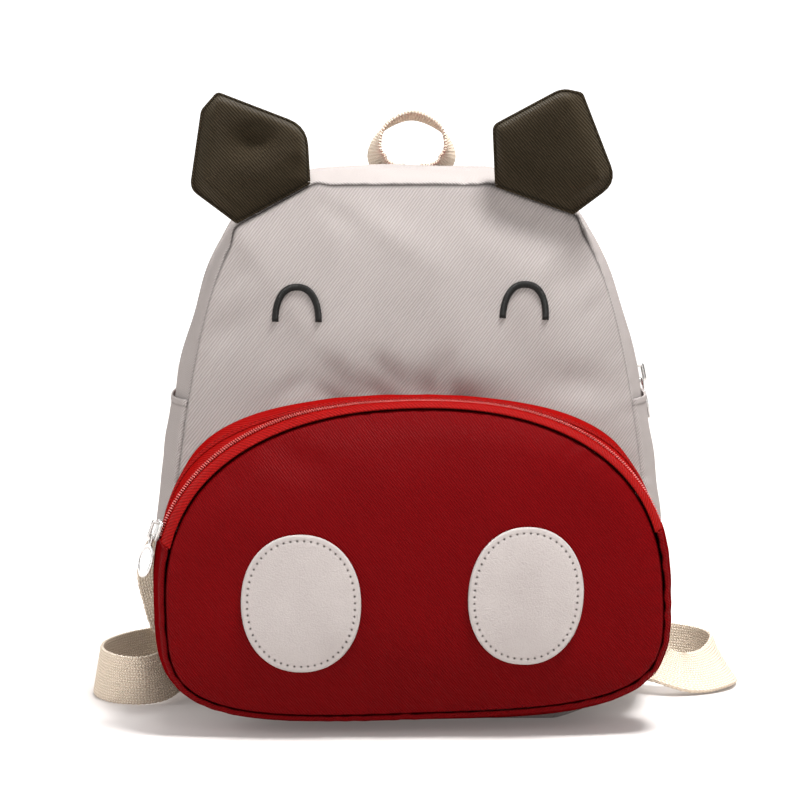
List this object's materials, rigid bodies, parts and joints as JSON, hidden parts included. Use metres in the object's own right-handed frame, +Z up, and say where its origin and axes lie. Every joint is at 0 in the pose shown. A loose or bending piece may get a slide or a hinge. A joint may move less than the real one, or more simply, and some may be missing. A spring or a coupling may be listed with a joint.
{
  "type": "child's animal-face backpack",
  "caption": "Small zipped cloth backpack shaped as an animal's face, with padded ears, a snout pocket with its own zip, side slip pockets, a haul loop and webbing shoulder straps.",
  "frame": {"origin": "middle of the flat base, halfway between the front and back seams of the main compartment", "axes": "+Z up, -Y the way the face looks, +X to the right as the face is seen"},
  "size_m": [0.3344, 0.1863, 0.3093],
  "materials": {
    "grey_twill": "light warm grey nylon twill with diagonal ribs",
    "dark_red_twill": "dark red nylon twill",
    "bright_red_twill": "bright red nylon twill and zip tape",
    "zip_red": "red nylon coil on tape",
    "olive_twill": "dark olive brown fine twill over padding",
    "black_thread": "black satin stitch",
    "leatherette": "off-white grained leatherette, edge stitched",
    "cotton_webbing": "natural cotton webbing with a small chevron weave",
    "slider_metal": "polished zinc"
  },
  "bodies": {
    "bag": {"front_panel": "grey_twill", "back_panel": "grey_twill", "gusset_front_strip": "grey_twill", "main_zip": "zip_red", "gusset_back_strip": "grey_twill", "lower_gusset": "grey_twill", "side_pocket_left": "grey_twill", "side_pocket_right": "grey_twill", "pocket_front": "dark_red_twill", "pocket_zip_facing": "bright_red_twill", "pocket_zip_chain": "zip_red", "pocket_zip_tape": "bright_red_twill", "pocket_gusset": "dark_red_twill", "ear_left": "olive_twill", "ear_right": "olive_twill", "eye_left": "black_thread", "eye_right": "black_thread", "nostril_patch_left": "leatherette", "nostril_patch_right": "leatherette", "haul_loop": "cotton_webbing", "shoulder_strap_left": "cotton_webbing", "shoulder_strap_right": "cotton_webbing", "main_slider": "slider_metal", "pocket_slider": "slider_metal"},
    "pocket_pull_tab": {"pocket_pull": "slider_metal"},
    "main_pull_tab": {"main_pull": "slider_metal"}
  },
  "joints": [
    {"name": "pocket_pull_swing", "type": "hinge", "parent": "bag", "child": "pocket_pull_tab", "pos_m": [-0.12504, -0.07278, 0.0967], "axis": [-0.2398, 0.9675, 0.0805], "range_deg": [0, 120]},
    {"name": "main_pull_swing", "type": "hinge", "parent": "bag", "child": "main_pull_tab", "pos_m": [0.11791, 0.01, 0.16329], "axis": [0, -1, 0], "range_deg": [0, 120]}
  ]
}
